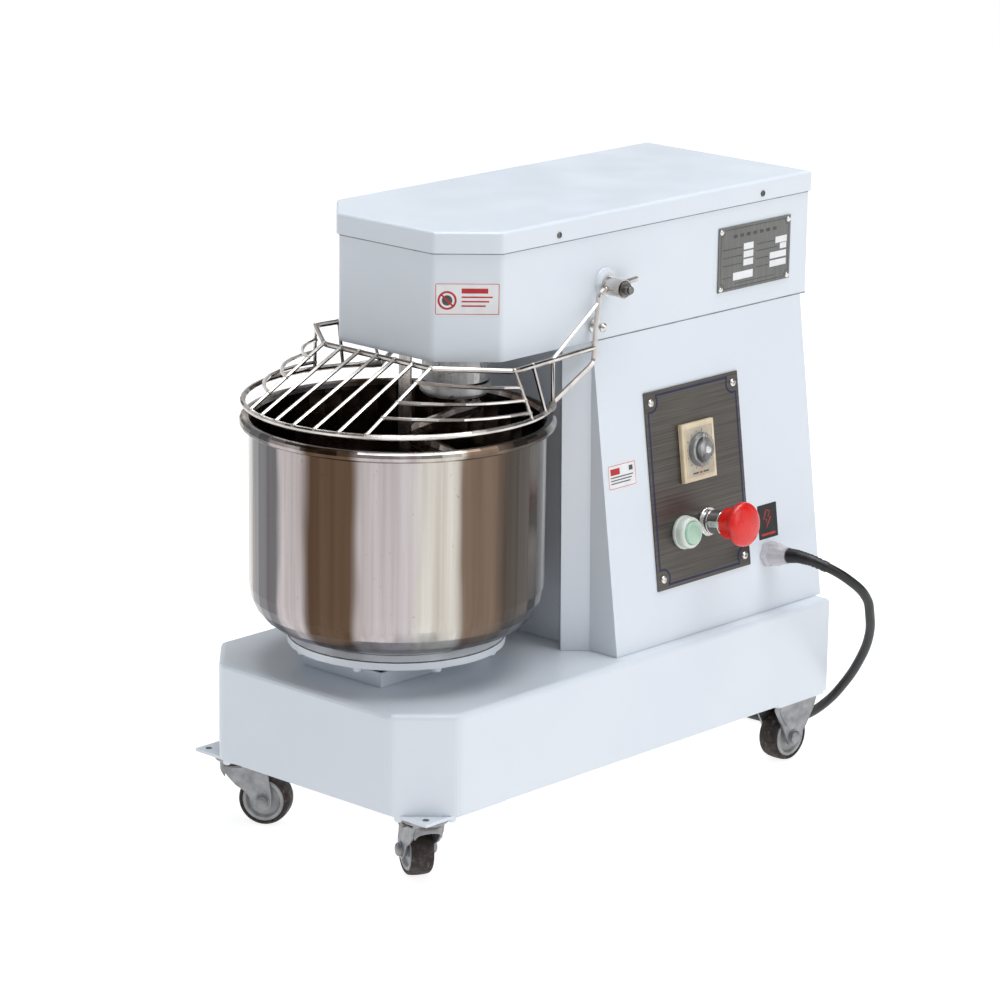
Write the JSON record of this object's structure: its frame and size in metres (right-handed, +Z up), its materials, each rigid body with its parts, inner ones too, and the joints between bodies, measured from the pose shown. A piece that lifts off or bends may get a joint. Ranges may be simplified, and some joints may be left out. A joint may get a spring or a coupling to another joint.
{
  "type": "spiral dough mixer",
  "caption": "Bench-height spiral dough mixer on casters: turning steel bowl, driven spiral, fixed breaker bar, lifting wire guard and side control panel.",
  "frame": {"origin": "on the floor, at the middle of the machine's bounding box, cord left out", "axes": "+X towards the side with the control panel, +Y from the bowl to the back, +Z up"},
  "size_m": [0.3861, 0.7907, 0.563],
  "materials": {
    "white_enamel": "smooth powder coat",
    "polished_steel": "polished stainless steel",
    "stainless_wire": "polished stainless wire",
    "panel_steel": "dark brushed steel",
    "nameplate_steel": "brushed, plain",
    "zinc_plate": "zinc plated",
    "cast_iron": "machined",
    "motor_paint": "satin paint",
    "belt_rubber": "matte",
    "caster_tread": "satin",
    "cream_plastic": "satin",
    "clear_knob": "glossy",
    "mint_button": "glossy",
    "bezel_plastic": "glossy",
    "red_mushroom": "glossy",
    "chrome_barrel": "mirror",
    "grey_nylon": "matte",
    "black_cable": "satin"
  },
  "bodies": {
    "frame": {"base_shell": "white_enamel", "pedestal_collar": "white_enamel", "front_caster_plate": "white_enamel", "rear_caster_plate": "white_enamel", "column_shell": "white_enamel", "column_front_cover": "white_enamel", "column_rear_cover": "white_enamel", "head_shell": "white_enamel", "head_lid": "white_enamel", "guard_boss_right": "white_enamel", "guard_boss_left": "white_enamel", "spindle_housing": "polished_steel", "breaker_bar": "polished_steel", "control_panel": "panel_steel", "nameplate": "nameplate_steel", "guard_stop_right": "zinc_plate", "guard_stop_left": "zinc_plate", "spindle_chain": "zinc_plate", "bowl_chain": "zinc_plate", "rear_fork_right": "zinc_plate", "rear_fork_left": "zinc_plate", "bowl_bearing": "cast_iron", "countershaft_bearing_upper": "cast_iron", "countershaft_bearing_lower": "cast_iron", "motor_bracket": "cast_iron", "motor": "motor_paint", "drive_belt": "belt_rubber", "timer_plate": "cream_plastic", "start_bezel": "bezel_plastic", "estop_barrel": "chrome_barrel", "cable_gland": "grey_nylon", "power_cord": "black_cable", "cord_coil": "black_cable", "mains_plug": "black_cable"},
    "guard": {"guard_grille": "stainless_wire", "guard_hub_right": "stainless_wire", "guard_hub_left": "stainless_wire", "guard_pivot_bolt_right": "zinc_plate", "guard_pivot_bolt_left": "zinc_plate"},
    "bowl": {"bowl_shell": "polished_steel", "turntable": "white_enamel", "bowl_shaft": "cast_iron", "bowl_sprocket": "cast_iron"},
    "spindle": {"spiral_tool": "polished_steel", "spindle_shaft": "cast_iron", "spindle_pulley": "cast_iron", "spindle_sprocket": "cast_iron"},
    "countershaft": {"countershaft": "cast_iron", "countershaft_sprocket_upper": "cast_iron", "countershaft_sprocket_lower": "cast_iron"},
    "motor_rotor": {"motor_pulley": "cast_iron"},
    "timer_knob": {"timer_knob": "clear_knob"},
    "start_button": {"start_button": "mint_button"},
    "estop_button": {"estop_button": "red_mushroom"},
    "front_fork_right": {"front_fork_right": "zinc_plate"},
    "front_fork_left": {"front_fork_left": "zinc_plate"},
    "front_wheel_right": {"front_wheel_right": "caster_tread"},
    "front_wheel_left": {"front_wheel_left": "caster_tread"},
    "rear_wheel_right": {"rear_wheel_right": "caster_tread"},
    "rear_wheel_left": {"rear_wheel_left": "caster_tread"}
  },
  "joints": [
    {"name": "guard_lift", "type": "hinge", "parent": "frame", "child": "guard", "pos_m": [-0.0145, 0.0067, 0.4962], "axis": [-1, 0, 0], "range_deg": [0, 90]},
    {"name": "bowl_turn", "type": "hinge", "parent": "frame", "child": "bowl", "pos_m": [-0.0145, -0.1522, 0.2], "axis": [0, 0, 1], "continuous": true},
    {"name": "spindle_turn", "type": "hinge", "parent": "frame", "child": "spindle", "pos_m": [-0.0145, -0.0793, 0.4], "axis": [0, 0, 1], "continuous": true},
    {"name": "countershaft_turn", "type": "hinge", "parent": "frame", "child": "countershaft", "pos_m": [-0.0145, 0.0707, 0.3], "axis": [0, 0, 1], "continuous": true},
    {"name": "motor_turn", "type": "hinge", "parent": "frame", "child": "motor_rotor", "pos_m": [-0.0145, 0.2307, 0.51], "axis": [0, 0, 1], "continuous": true},
    {"name": "timer_turn", "type": "hinge", "parent": "frame", "child": "timer_knob", "pos_m": [0.11081, 0.1182, 0.33017], "axis": [-0.9917, 0, -0.1286], "range_deg": [0, 300]},
    {"name": "start_press", "type": "slide", "parent": "frame", "child": "start_button", "axis": [-0.9917, 0, -0.1286], "range_m": [0, 0.0025], "stiffness_N_per_m": 300},
    {"name": "estop_press", "type": "slide", "parent": "frame", "child": "estop_button", "axis": [-0.9917, 0, -0.1286], "range_m": [0, 0.004], "stiffness_N_per_m": 500},
    {"name": "front_swivel_right", "type": "hinge", "parent": "frame", "child": "front_fork_right", "pos_m": [0.104, -0.2358, 0.06], "axis": [0, 0, 1], "continuous": true},
    {"name": "front_roll_right", "type": "hinge", "parent": "front_fork_right", "child": "front_wheel_right", "pos_m": [0.08039, -0.22271, 0.024], "axis": [0.4848, 0.8746, 0], "continuous": true},
    {"name": "front_swivel_left", "type": "hinge", "parent": "frame", "child": "front_fork_left", "pos_m": [-0.133, -0.2358, 0.06], "axis": [0, 0, 1], "continuous": true},
    {"name": "front_roll_left", "type": "hinge", "parent": "front_fork_left", "child": "front_wheel_left", "pos_m": [-0.10939, -0.22271, 0.024], "axis": [0.4848, -0.8746, 0], "continuous": true},
    {"name": "rear_roll_right", "type": "hinge", "parent": "frame", "child": "rear_wheel_right", "pos_m": [0.1065, 0.2537, 0.024], "axis": [1, 0, 0], "continuous": true},
    {"name": "rear_roll_left", "type": "hinge", "parent": "frame", "child": "rear_wheel_left", "pos_m": [-0.1355, 0.2537, 0.024], "axis": [1, 0, 0], "continuous": true}
  ],
  "couplings": [
    {"joint": "countershaft_turn", "follows": "bowl_turn", "ratio": 3.1},
    {"joint": "spindle_turn", "follows": "bowl_turn", "ratio": 9.3},
    {"joint": "motor_turn", "follows": "bowl_turn", "ratio": 55.8}
  ]
}
